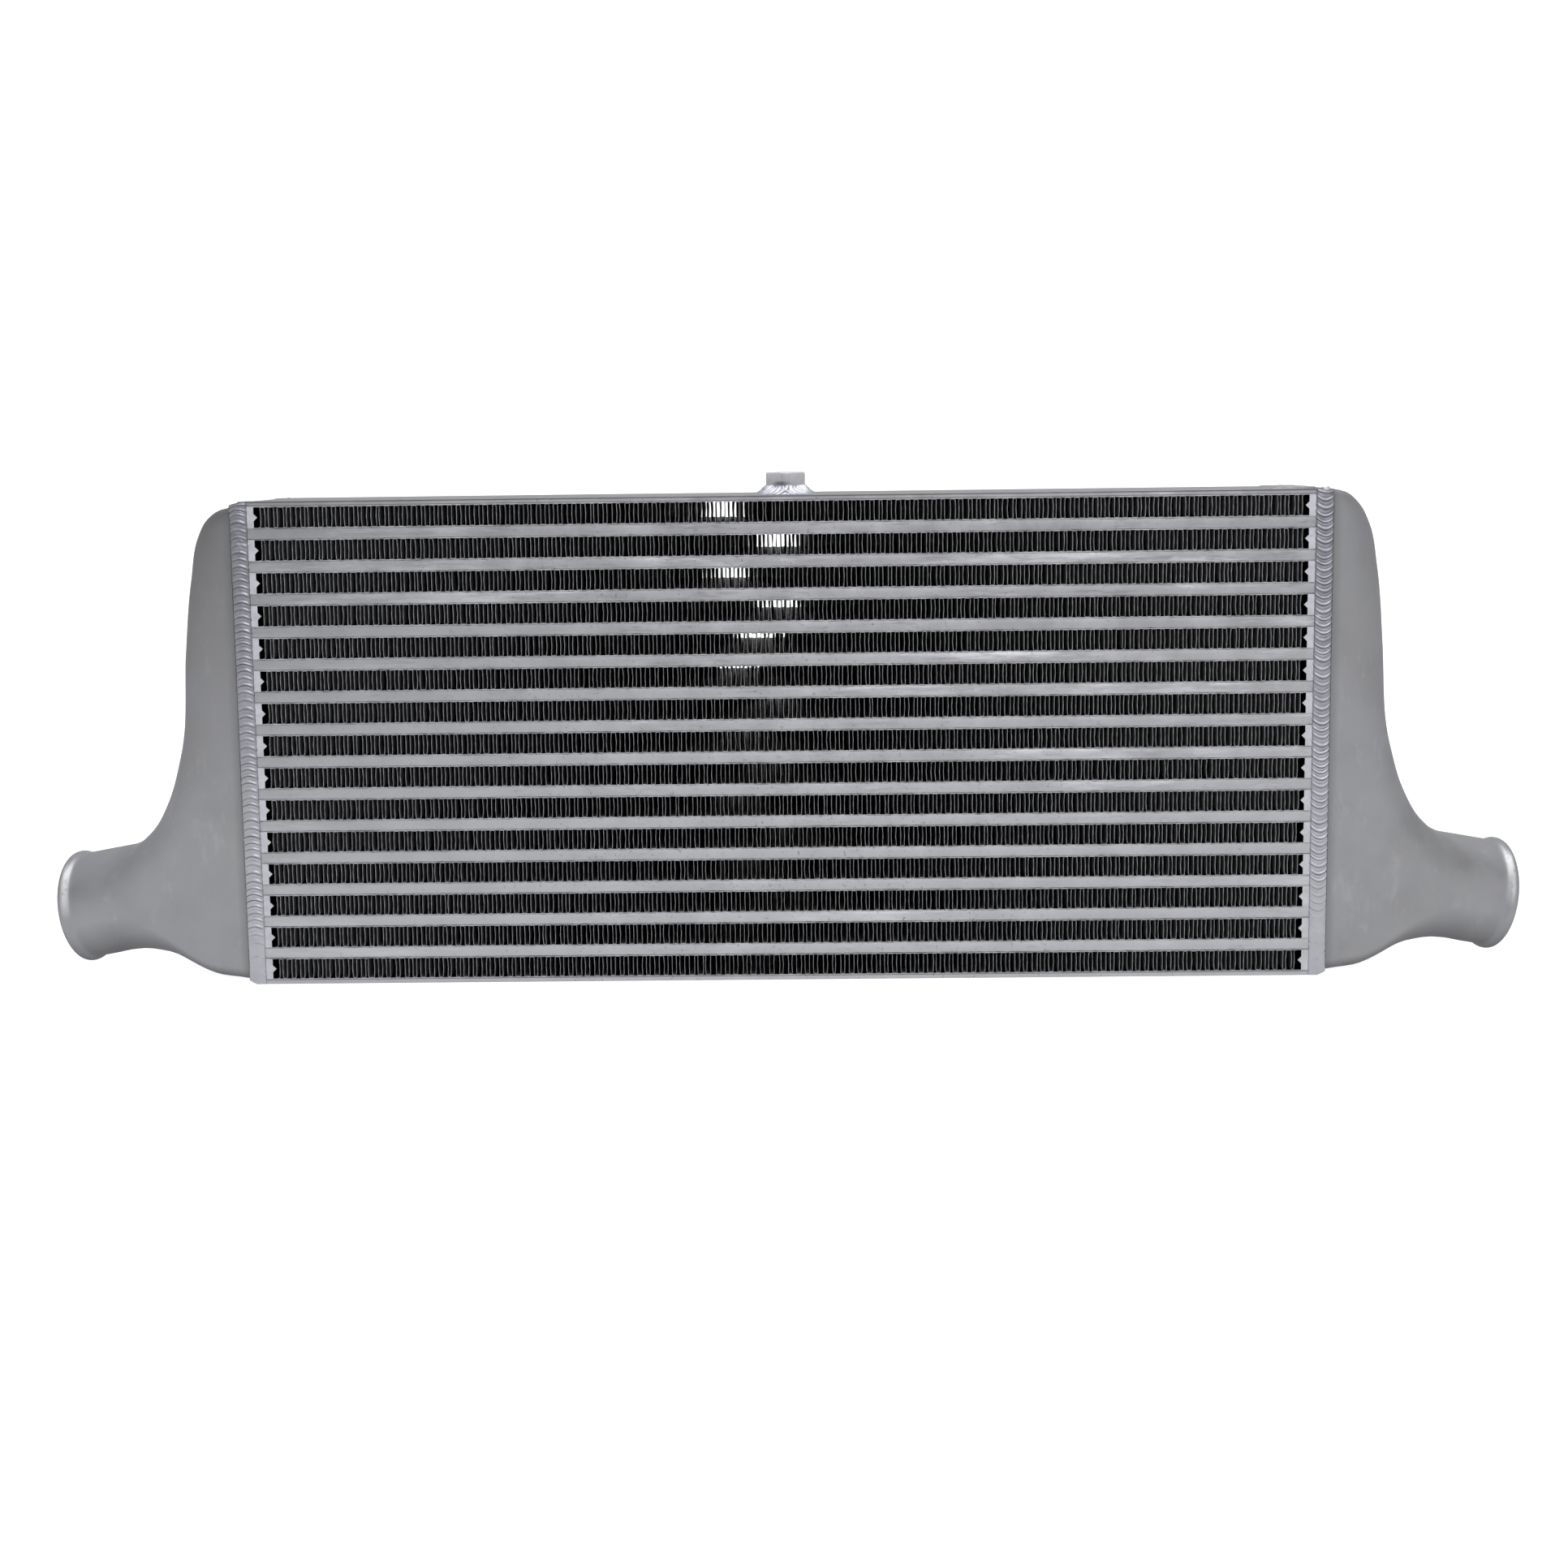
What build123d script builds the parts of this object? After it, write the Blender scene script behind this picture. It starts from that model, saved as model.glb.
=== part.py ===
"""Air-to-air intercooler: a bar-and-plate core between two cast end tanks.

Millimetres.  The origin is at the middle of the core's base, +X runs along the core towards
the right tank, +Y from the front face to the rear face, and +Z up the stack of passages.
"""
from build123d import *
from math import cos, radians, sin, tan
import os

# Core stack
fin_rows = 15
fin_height = 11.9
charge_height = 6.2
sheet_thickness = 0.5
end_plate_thickness = 2.75
core_length = 625.2
core_depth = 76.0

# Bars
short_bar_width = 9.0
short_bar_nib_reach = 2.1
short_bar_nib_height = 4.2
long_bar_width = 8.0

# Corrugated sheets
ambient_fin_legs = 24
ambient_fin_thickness = 0.3
ambient_fin_end_gap = 3.2
turbulator_legs = 12
turbulator_thickness = 0.3
turbulator_side_gap = 0.4

# End tank castings: reaches are measured out from the mouth, heights up from the base,
# and angles from the vertical wall or from the level
tank_wall = 4.0
tank_inner_chamfer = 7.5
tank_top_reach = 29.9
tank_wall_slope = 5.2
tank_shoulder_radius = 24.0
tank_elbow_radius = 65.0
tank_straight_left = 1.5
tank_sole_height = 0.2
tank_sole_reach = 20.0
tank_sole_slope = 19.0
tank_underside_radius = 60.0
tank_sole_radius = 60.0
tank_edge_radius = 15.0
tank_sole_edge_radius = 9.0
tank_taper_reach = 40.0
tank_taper_radius = 300.0
nozzle_radius = 31.75
nozzle_reach = 117.3
nozzle_height = 37.7
nozzle_droop = 10.3
nozzle_length = 28.0
nozzle_relief = 0.3
bead_radius = 33.65
bead_width = 4.6
bead_crest_width = 1.9

# Trumpet behind the nozzle's root: each step's rise over the nozzle and its distance back
nozzle_flare = [(4.5, 17.0), (14.0, 32.0), (40.0, 46.0)]

# Welds
weld_width = 10.4
weld_rise = 1.9
weld_groove_depth = 2.0
weld_cap_inset = 14.0
weld_end_gap = 1.5

# Mounting boss on the top plate
boss_offset = 3.3
boss_flats = 20.4
boss_corner_diameter = 23.5
boss_height = 12.9
boss_chamfer = 0.8
boss_thread_radius = 4.25
boss_thread_depth = 10.0
boss_weld_diameter = 37.2
boss_weld_height = 6.3
boss_weld_crown = 0.8

# Low pad at one end of the top plate
pad_length = 30.0
pad_depth = 40.0
pad_height = 1.4
pad_edge_gap = 1.5

# Worked out from the sizes above
charge_rows = fin_rows - 1
row_pitch = fin_height + charge_height + 2 * sheet_thickness
first_fin_z = end_plate_thickness + sheet_thickness
core_height = charge_rows * row_pitch + fin_height + 2 * first_fin_z
half_length = core_length / 2
half_depth = core_depth / 2
half_opening = half_length - short_bar_width
behind_mouth = 2 * tank_edge_radius


def save(shape, name):
    """Write one sub-part, named after what it is."""
    shape.label = name
    export_step(shape, f"parts/{name}.step")


def block(x_span, y_span, z_span):
    """A rectangular bar or plate between two limits along each axis."""
    spans = (x_span, y_span, z_span)
    sizes = [high - low for low, high in spans]
    centre = [(high + low) / 2 for low, high in spans]
    return Pos(*centre) * Box(*sizes)


def fin_base(row):
    """Height of the underside of one ambient fin row."""
    return first_fin_z + row * row_pitch


def charge_base(row):
    """Height of the underside of one charge air passage, above its lower sheet."""
    return fin_base(row) + fin_height + sheet_thickness


def corrugation(length, height, legs, thickness):
    """Closed outline of a folded sheet, in its own plane, from one end crest to the other."""
    step = length / legs
    crest = height - thickness
    lower_edge = [(-length / 2 + step * i, crest * (i % 2)) for i in range(legs + 1)]
    upper_edge = [(x, y + thickness) for x, y in reversed(lower_edge)]
    return make_face(Polyline(*lower_edge, *upper_edge, close=True))


def ambient_fin(row):
    """Cooling fin: a sheet folded along the core, its channels open from front to rear."""
    length = 2 * (half_opening - ambient_fin_end_gap)
    outline = corrugation(length, fin_height, ambient_fin_legs, ambient_fin_thickness)
    front = Plane(origin=(0, -half_depth, fin_base(row)), x_dir=(1, 0, 0), z_dir=(0, -1, 0))
    return extrude(front * outline, -core_depth)


def turbulator(row):
    """Charge side sheet, folded across the passage with its channels along the core."""
    width = core_depth - 2 * (long_bar_width + turbulator_side_gap)
    outline = corrugation(width, charge_height, turbulator_legs, turbulator_thickness)
    end = Plane(origin=(-half_opening, 0, charge_base(row)), x_dir=(0, 1, 0), z_dir=(1, 0, 0))
    return extrude(end * outline, 2 * half_opening)


def long_bars(row):
    """The two bars that close one charge passage at the front and at the rear."""
    z_span = (charge_base(row), charge_base(row) + charge_height)
    x_span = (-half_length, half_length)
    inner = half_depth - long_bar_width
    return Compound([
        block(x_span, (-half_depth, -inner), z_span),
        block(x_span, (inner, half_depth), z_span),
    ])


def short_bar(row):
    """A bar that closes one ambient row at the right-hand end, with its nib facing the fin."""
    base = fin_base(row)
    middle = base + fin_height / 2
    nib = short_bar_nib_height / 2
    outline = Polyline(
        (half_length, base),
        (half_length, base + fin_height),
        (half_opening, base + fin_height),
        (half_opening, middle + nib),
        (half_opening - short_bar_nib_reach, middle),
        (half_opening, middle - nib),
        (half_opening, base),
        close=True,
    )
    profile = make_face(Plane.XZ * outline)
    return extrude(profile, half_depth, both=True)


def separator_sheets():
    """Brazed sheets between the rows: one under and one over every ambient row."""
    sheets = []
    for row in range(fin_rows):
        for base in (fin_base(row) - sheet_thickness, fin_base(row) + fin_height):
            z_span = (base, base + sheet_thickness)
            sheets.append(block((-half_length, half_length), (-half_depth, half_depth), z_span))
    return sheets


def weld_groove(z_edge, inward):
    """Triangular prism across the joint, which the top or the bottom weld fills."""
    half_width = weld_width / 2
    outline = Polyline(
        (half_length - half_width, z_edge),
        (half_length + half_width, z_edge),
        (half_length, z_edge + inward * weld_groove_depth),
        close=True,
    )
    return extrude(make_face(Plane.XZ * outline), half_depth - weld_cap_inset, both=True)


def end_plate(z_span, z_edge, inward):
    """Thick outer plate of the stack, prepared for the weld at both ends."""
    plate = block((-half_length, half_length), (-half_depth, half_depth), z_span)
    groove = weld_groove(z_edge, inward)
    return plate - groove - mirror(groove, about=Plane.YZ)


def crossing(start, direction, other_start, other_direction):
    """Point where two lines of the casting's outline meet."""
    gap = other_start - start
    span = direction.X * other_direction.Y - direction.Y * other_direction.X
    along = (gap.X * other_direction.Y - gap.Y * other_direction.X) / span
    return start + direction * along


def heading(degrees):
    """Unit direction in the outline's plane, from the level."""
    return Vector(cos(radians(degrees)), sin(radians(degrees)))


def fitting_radii(points, wanted):
    """The wanted corner radii, each no larger than the runs beside its corner leave room for."""
    radii = []
    for corner, radius in enumerate(wanted, start=1):
        before = points[corner] - points[corner - 1]
        after = points[corner + 1] - points[corner]
        room_before = before.length / (1 if corner == 1 else 2)
        room_after = after.length / (1 if corner == len(wanted) else 2)
        room = min(room_before, room_after) - tank_straight_left
        radii.append(min(radius, room / tan(radians(before.get_angle(after) / 2))))
    return radii


def tank_outline():
    """Side outline of the casting from behind its mouth to the root of the nozzle."""
    axis = heading(-nozzle_droop)
    square = heading(90 - nozzle_droop) * (nozzle_radius + nozzle_relief)
    root = Vector(nozzle_reach, nozzle_height) - axis * nozzle_length
    shoulder = Vector(tank_top_reach, core_height)
    elbow = crossing(shoulder, heading(tank_wall_slope - 90), root + square, axis)
    sole = Vector(tank_sole_reach, tank_sole_height)
    underside = crossing(sole, heading(tank_sole_slope), root - square, axis)
    back_top = Vector(-behind_mouth, core_height)
    back_base = Vector(-behind_mouth, tank_sole_height)
    upper = [back_top, shoulder, elbow, root + square]
    lower = [root - square, underside, sole, back_base]
    upper_radii = fitting_radii(upper, [tank_shoulder_radius, tank_elbow_radius])
    lower_radii = fitting_radii(lower, [tank_underside_radius, tank_sole_radius])
    return [
        FilletPolyline(*upper, radius=upper_radii),
        Line(root + square, root - square),
        FilletPolyline(*lower, radius=lower_radii),
        Line(back_base, back_top),
    ]


def rim_edges(body, low, high):
    """Edges round the casting's two side faces whose middles lie between two heights."""
    sides = body.faces().sort_by(Axis.Y)
    rims = sides[0].edges() + sides[-1].edges()
    ahead = rims.filter_by_position(Axis.X, -tank_edge_radius, 2 * nozzle_reach)
    return ahead.filter_by_position(Axis.Z, low, high)


def tank_block(skin):
    """The outline carried across the core, with its outer edges rounded or, inside, broken."""
    outline = Wire([edge for run in tank_outline() for edge in run.edges()])
    face = make_face(Plane.XZ * outline)
    if skin:
        face = offset(face, -skin)
    body = extrude(face, half_depth - skin, both=True)
    top = (nozzle_height + nozzle_radius, core_height)
    sole = (-nozzle_radius, nozzle_height / 2)
    if skin:
        return chamfer(rim_edges(body, *top) + rim_edges(body, *sole), tank_inner_chamfer)
    body = fillet(rim_edges(body, *top), tank_edge_radius)
    return fillet(rim_edges(body, *sole), tank_sole_edge_radius)


def tank_plan(skin):
    """Plan of the casting: full depth at the mouth, drawn in to the nozzle's width."""
    far = 2 * nozzle_reach
    wide = half_depth - skin
    narrow = nozzle_radius + nozzle_relief - skin
    side = FilletPolyline(
        (-behind_mouth, wide),
        (tank_taper_reach, wide),
        (nozzle_reach - nozzle_length, narrow),
        (far, narrow),
        radius=tank_taper_radius,
    )
    middle = Polyline((far, narrow), (far, 0), (-behind_mouth, 0), (-behind_mouth, wide))
    half = make_face(Wire([*side.edges(), *middle.edges()]))
    plan = half + mirror(half, about=Plane.XZ)
    return extrude(plan, 2 * core_height, both=True)


def nozzle_plane(along):
    """Plane square to the nozzle; `along` runs outward from the middle of the hose bead."""
    lean = radians(nozzle_droop)
    axis = Vector(cos(lean), 0, -sin(lean))
    centre = Vector(nozzle_reach, 0, nozzle_height) + axis * along
    return Plane(centre, x_dir=(sin(lean), 0, cos(lean)), z_dir=axis)


def nozzle_flare_form(skin):
    """Trumpet round the nozzle's axis that rounds the casting down to the nozzle's root."""
    radius = nozzle_radius - skin
    steps = [(radius + rise, -nozzle_length - back) for rise, back in nozzle_flare]
    outer = 2 * core_height
    profile = make_face(Plane.XZ * Polyline(
        (0, -nozzle_length),
        (radius, -nozzle_length),
        *steps,
        (outer, steps[-1][1]),
        (outer, -outer),
        (0, -outer),
        close=True,
    ))
    return nozzle_plane(0) * revolve(profile, Axis.Z, 360)


def casting(skin):
    """Solid form of the tank, drawn in from the outside by the thickness `skin`."""
    return tank_block(skin) & tank_plan(skin) & nozzle_flare_form(skin)


def nozzle_end():
    """Turned end of the nozzle with its hose bead, as a solid of revolution."""
    profile = make_face(Plane.XZ * Polyline(
        (0, -nozzle_length),
        (nozzle_radius, -nozzle_length),
        (nozzle_radius, -bead_width / 2),
        (bead_radius, -bead_crest_width / 2),
        (bead_radius, bead_crest_width / 2),
        (nozzle_radius, bead_width / 2),
        (0, bead_width / 2),
        close=True,
    ))
    return nozzle_plane(0) * revolve(profile, Axis.Z, 360)


def end_tank():
    """Hollow right-hand casting, open at its mouth and at the nozzle."""
    bore_radius = nozzle_radius - tank_wall
    bore_start = -nozzle_length - 2 * tank_wall
    bore = Cylinder(bore_radius, 2 * nozzle_length, align=(Align.CENTER, Align.CENTER, Align.MIN))
    body = casting(0) + nozzle_end()
    hollow = casting(tank_wall) + nozzle_plane(bore_start) * bore
    waste = block((-core_depth, 0), (-core_depth, core_depth), (-core_height, 2 * core_height))
    tank = Pos(half_length, 0, 0) * (body - hollow - waste)
    return tank - weld_groove(core_height, -1) - weld_groove(0, 1)


def side_weld(side):
    """Weld bead up one face of the joint; side is -1 at the front and 1 at the rear."""
    half_width = weld_width / 2
    outline = [
        Line((half_length - half_width, side * half_depth), (half_length + half_width, side * half_depth)),
        ThreePointArc(
            (half_length + half_width, side * half_depth),
            (half_length, side * (half_depth + weld_rise)),
            (half_length - half_width, side * half_depth),
        ),
    ]
    profile = Pos(0, 0, weld_end_gap) * make_face(Wire(outline))
    return extrude(profile, core_height - 2 * weld_end_gap, dir=(0, 0, 1))


def tank_welds():
    """All four runs of weld round the right-hand joint."""
    return [side_weld(-1), side_weld(1), weld_groove(core_height, -1), weld_groove(0, 1)]


def boss_blank():
    """Square bar, set corner to the front, with its corners turned down."""
    square = extrude(Rot(0, 0, 45) * Rectangle(boss_flats, boss_flats), boss_height)
    turned = Cylinder(boss_corner_diameter / 2, boss_height, align=(Align.CENTER, Align.CENTER, Align.MIN))
    turned = chamfer(turned.edges().sort_by(Axis.Z)[-1], boss_chamfer)
    return Pos(boss_offset, 0, core_height) * (square & turned)


def mounting_boss():
    """Boss with its blind threaded hole, open at the top."""
    hole_base = core_height + boss_height - boss_thread_depth
    hole = Cylinder(boss_thread_radius, boss_height, align=(Align.CENTER, Align.CENTER, Align.MIN))
    return boss_blank() - Pos(boss_offset, 0, hole_base) * hole


def boss_weld():
    """Fillet of weld round the foot of the boss."""
    foot = boss_weld_diameter / 2
    throat = boss_corner_diameter / 2
    outline = Polyline(
        (0, 0),
        (foot, 0),
        ((foot + throat) / 2 + boss_weld_crown, boss_weld_height / 2 + boss_weld_crown),
        (throat, boss_weld_height),
        (0, boss_weld_height),
        close=True,
    )
    ring = revolve(make_face(Plane.XZ * outline), Axis.Z, 360)
    return Pos(boss_offset, 0, core_height) * ring - boss_blank()


def corner_pad():
    """Low pad on the top plate, beside the right-hand weld."""
    x_end = half_length - weld_width / 2
    y_start = pad_edge_gap - half_depth
    return block(
        (x_end - pad_length, x_end),
        (y_start, y_start + pad_depth),
        (core_height, core_height + pad_height),
    )


def mirrored(solids):
    """The same solids at the left-hand end."""
    return [mirror(solid, about=Plane.YZ) for solid in solids]


os.makedirs("parts", exist_ok=True)

for row in range(fin_rows):
    save(ambient_fin(row), f"ambient_fin_{row + 1:02d}")
for row in range(charge_rows):
    save(turbulator(row), f"turbulator_{row + 1:02d}")
    save(long_bars(row), f"long_bars_{row + 1:02d}")

sheets = separator_sheets()
save(Compound(sheets[:fin_rows]), "separator_sheets_lower")
save(Compound(sheets[fin_rows:]), "separator_sheets_upper")

right_short_bars = [short_bar(row) for row in range(fin_rows)]
save(Compound(right_short_bars), "short_bars_right")
save(Compound(mirrored(right_short_bars)), "short_bars_left")

save(end_plate((0, end_plate_thickness), 0, 1), "bottom_end_plate")
save(end_plate((core_height - end_plate_thickness, core_height), core_height, -1), "top_end_plate")

right_tank = end_tank()
save(right_tank, "right_end_tank")
save(mirror(right_tank, about=Plane.YZ), "left_end_tank")

right_welds = tank_welds()
save(Compound(right_welds), "right_tank_weld")
save(Compound(mirrored(right_welds)), "left_tank_weld")

save(mounting_boss(), "mounting_boss")
save(boss_weld(), "boss_weld")
save(corner_pad(), "corner_pad")
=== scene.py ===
# %% [markdown]
# # An intercooler, finished as a lesson in hard-surface modelling
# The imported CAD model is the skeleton: every bar, plate, sheet and tank at its real size.
# Here each visible surface gets its finish, and the pieces whose look is finer than the CAD
# solids (folded fins, weld beads, the casting's soft corners) are modelled anew in their place.

# %% Load the frame
import random
from math import copysign, cos, pi, radians, sin, tan, tanh

import bpy
from mathutils import Matrix, Vector, noise


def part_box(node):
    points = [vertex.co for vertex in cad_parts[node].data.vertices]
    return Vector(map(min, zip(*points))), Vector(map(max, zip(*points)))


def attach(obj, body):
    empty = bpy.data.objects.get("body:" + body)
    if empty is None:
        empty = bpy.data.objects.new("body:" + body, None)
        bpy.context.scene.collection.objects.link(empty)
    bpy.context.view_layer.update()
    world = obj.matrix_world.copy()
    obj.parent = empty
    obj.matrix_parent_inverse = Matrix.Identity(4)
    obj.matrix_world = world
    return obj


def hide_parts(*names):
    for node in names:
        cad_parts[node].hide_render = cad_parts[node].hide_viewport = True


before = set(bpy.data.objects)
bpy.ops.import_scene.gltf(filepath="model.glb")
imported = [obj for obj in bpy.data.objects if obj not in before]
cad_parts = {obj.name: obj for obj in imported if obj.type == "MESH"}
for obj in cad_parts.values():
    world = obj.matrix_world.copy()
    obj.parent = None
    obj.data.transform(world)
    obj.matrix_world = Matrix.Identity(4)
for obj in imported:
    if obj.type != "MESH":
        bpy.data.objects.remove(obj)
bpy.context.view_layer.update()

MM = 0.001

# %% [markdown]
# ## Measures taken from the frame
# Nothing is measured twice: the core's length, depth and height and the place of every row
# come from the boxes of the CAD nodes, so that the new pieces fit if the part changes.

# %% Read the core's sizes
plate_low, plate_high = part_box("top_end_plate")
base_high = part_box("bottom_end_plate")[1]
HALF_LENGTH, HALF_DEPTH, TOP = plate_high
FIN_ROWS = sorted(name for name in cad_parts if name.startswith("ambient_fin"))
BAR_ROWS = sorted(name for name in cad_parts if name.startswith("long_bars"))
SHEETS = [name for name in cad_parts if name.startswith("separator_sheets")]
TURBULATORS = [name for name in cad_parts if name.startswith("turbulator")]
weld_low, weld_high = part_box("right_tank_weld")
WELD_HALF_WIDTH = (weld_high.x - weld_low.x) / 2
boss_low, boss_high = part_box("mounting_boss")
BOSS_X = (boss_low.x + boss_high.x) / 2
print(len(FIN_ROWS), "fin rows,", len(BAR_ROWS), "charge passages, top at", round(TOP / MM, 1))

# %% [markdown]
# ## Helpers for modelling
# Blender's operators act on whatever is selected, so each piece starts with an empty
# selection. One helper lays a flat grid over a surface that a small function describes, as a
# sheet is laid over a form; another selects the edges that the next operator works on.


# %% Selection and finishing helpers
def deselect_all():
    """Go to object mode with nothing selected."""
    if bpy.context.object and bpy.context.object.mode != "OBJECT":
        bpy.ops.object.mode_set(mode="OBJECT")
    bpy.ops.object.select_all(action="DESELECT")


def activate(piece):
    """Leave edit mode and make one piece the only one selected."""
    deselect_all()
    piece.select_set(True)
    bpy.context.view_layer.objects.active = piece


def new_piece(name):
    """The piece that an operator has just made, with a name."""
    piece = bpy.context.object
    piece.name = piece.data.name = name
    return piece


def select_edges(piece, test=None):
    """Edit a piece with the edges selected whose ends pass a test, or else its open rim."""
    activate(piece)
    bpy.ops.object.mode_set(mode="EDIT")
    bpy.ops.mesh.select_mode(type="EDGE")
    bpy.ops.mesh.select_all(action="DESELECT")
    if not test:
        bpy.ops.mesh.select_non_manifold()
        return
    bpy.ops.object.mode_set(mode="OBJECT")
    for edge in piece.data.edges:
        edge.select = test(*(piece.data.vertices[i].co for i in edge.vertices))
    bpy.ops.object.mode_set(mode="EDIT")


def orient(piece, merge=False):
    """Turn the faces of a mesh outwards, after closing its seams if asked to."""
    activate(piece)
    bpy.ops.object.mode_set(mode="EDIT")
    bpy.ops.mesh.select_all(action="SELECT")
    if merge:
        bpy.ops.mesh.remove_doubles(threshold=0.01 * MM)
    bpy.ops.mesh.normals_make_consistent(inside=False)
    bpy.ops.object.mode_set(mode="OBJECT")
    return piece


def solidify(piece, **settings):
    """Give a sheet its thickness."""
    activate(piece)
    modifier = piece.modifiers.new("wall", "SOLIDIFY")
    for key, value in settings.items():
        setattr(modifier, key, value)
    bpy.ops.object.modifier_apply(modifier=modifier.name)


def bake_place(piece):
    """Put the piece's place into its mesh, so that its object sits at the origin."""
    activate(piece)
    bpy.ops.object.transform_apply(location=True, rotation=True, scale=True)


def smooth(piece, angle):
    """Smooth shading that keeps edges sharper than an angle crisp."""
    activate(piece)
    bpy.ops.object.shade_smooth_by_angle(angle=radians(angle))
    return piece


def finish(piece, material, slot, *nodes):
    """Dress a piece, let it ride on the part, and hide the CAD nodes it stands for."""
    piece.data.materials.clear()
    piece.data.materials.append(material)
    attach(piece, "root")
    if nodes:
        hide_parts(*nodes)
    print(f"{piece.name}: {len(piece.data.polygons)} faces")


# %% A grid laid over a form
def laid_grid(name, columns, rows, place, closed=False):
    """A grid of columns by rows faces; place(u, v) gives each corner's point, u and v in 0..1."""
    deselect_all()
    bpy.ops.mesh.primitive_grid_add(x_subdivisions=columns, y_subdivisions=rows, size=1)
    piece = new_piece(name)
    for vertex in piece.data.vertices:
        column = round((vertex.co.x + 0.5) * columns)
        row = round((vertex.co.y + 0.5) * rows)
        vertex.co = place(column / columns, row / rows)
    return orient(piece, merge=True) if closed else piece


# %% [markdown]
# ## Helper for painting
# Surfaces and the room are painted in shader nodes. By hand, each node is added, its fields are
# filled in and its sockets are wired. A Painter does the same to one tree, and wherever it
# takes a value it takes another node's output as well, so that a formula reads as one.


# %% The painter of one shader tree
def grey(level, blue=0.0):
    """A near neutral colour, a little towards blue."""
    return (level, level * (1 + 0.15 * blue), level * (1 + blue), 1)


class Painter:
    """Adds nodes to a shader tree; each method gives the output that it made."""

    def __init__(self, tree):
        self.tree = tree

    def put(self, socket, value):
        """Give an input socket a value, or wire an output socket to it."""
        if isinstance(value, bpy.types.NodeSocket):
            self.tree.links.new(value, socket)
        else:
            socket.default_value = value

    def fill(self, node, **inputs):
        """Fill a node's inputs by their names, with _ for a space."""
        for key, value in inputs.items():
            self.put(node.inputs[key.replace("_", " ")], value)
        return node

    def node(self, kind, **inputs):
        """A new node with its inputs filled."""
        return self.fill(self.tree.nodes.new("ShaderNode" + kind), **inputs)

    def ramp(self, source, low, high, out_low=0.0, out_high=1.0):
        """Map a value from one range to another, clamped."""
        ranges = {"From_Min": low, "From_Max": high, "To_Min": out_low, "To_Max": out_high}
        return self.node("MapRange", Value=source, **ranges).outputs[0]

    def reckon(self, kind, operation, *values):
        """The outputs of a Math or VectorMath node on some values."""
        node = self.node(kind)
        node.operation = operation
        for socket, value in zip(node.inputs, values):
            self.put(socket, value)
        return node.outputs

    def plus(self, first, second):
        """Sum of two values."""
        return self.reckon("Math", "ADD", first, second)[0]

    def times(self, first, *others):
        """Product of masks and numbers."""
        for other in others:
            first = self.reckon("Math", "MULTIPLY", first, other)[0]
        return first

    def mix(self, factor, first, second):
        """Two colours mixed by a mask."""
        node = self.node("Mix")
        node.data_type = "RGBA"
        self.put(node.inputs["Factor"], factor)
        for name, value in (("A", first), ("B", second)):
            self.put(next(s for s in node.inputs if s.name == name and s.type == "RGBA"), value)
        return next(s for s in node.outputs if s.type == "RGBA")


# %% [markdown]
# ## Camera
# A long-ish lens stands in front of the core and a little above it, tipped down by five
# degrees. A vertical shift keeps the part where it sits in the frame.

# %% Set the camera
CAMERA_PLACE = Vector((0.01128, -0.90479, 0.3098))
CAMERA_PITCH = 5.037
CAMERA_YAW = 0.61
CAMERA_ROLL = 0.713
SENSOR_WIDTH = 36.0
IMAGE_WIDTH = 1932
FOCAL_PIXELS = 1857.1
SHIFT_PIXELS = -243.8

camera_data = bpy.data.cameras.new("camera")
camera_data.sensor_width = SENSOR_WIDTH
camera_data.lens = FOCAL_PIXELS * SENSOR_WIDTH / IMAGE_WIDTH
camera_data.shift_y = SHIFT_PIXELS / IMAGE_WIDTH
camera_data.clip_start = 0.05
camera_data.clip_end = 50
camera = bpy.data.objects.new("camera", camera_data)
bpy.context.scene.collection.objects.link(camera)
turn = (
    Matrix.Rotation(radians(CAMERA_YAW), 3, "Z")
    @ Matrix.Rotation(radians(-CAMERA_PITCH), 3, "X")
    @ Matrix.Rotation(radians(CAMERA_ROLL), 3, "Y")
    @ Matrix.Rotation(radians(90), 3, "X")
)
camera.matrix_world = Matrix.Translation(CAMERA_PLACE) @ turn.to_4x4()
bpy.context.scene.camera = camera
print("lens", round(camera_data.lens, 2), "mm, shift", round(camera_data.shift_y, 4))

# %% [markdown]
# ## Studio
# Bare metal shows its surroundings more than itself. The floor is a light table that sweeps
# up into a white backdrop, so it casts hardly a shadow. Soft boxes hang above and to the
# front, and the room in front of the part is dimmer, which gives the metal its mid greys.


# %% Floor and backdrop in one sweep
FLOOR_REACH = 6.0
SWEEP_BACK = 3.0
SWEEP_HEIGHT = 4.0
SWEEP_BEND = 1.2
FLOOR_GREY = 0.30
FLOOR_GLOW = 0.91

deselect_all()
bpy.ops.mesh.primitive_plane_add(size=2 * FLOOR_REACH, location=(0, SWEEP_BACK - FLOOR_REACH, 0))
floor = new_piece("studio_floor")
select_edges(floor, lambda a, b: min(a.y, b.y) > 0)
bpy.ops.mesh.extrude_region_move(TRANSFORM_OT_translate={"value": (0, 0, SWEEP_HEIGHT)})
select_edges(floor, lambda a, b: min(a.y, b.y) > 0 and max(a.z, b.z) < MM)
bpy.ops.mesh.bevel(offset=SWEEP_BEND, segments=12)
bake_place(floor)
smooth(floor, 40)

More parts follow.
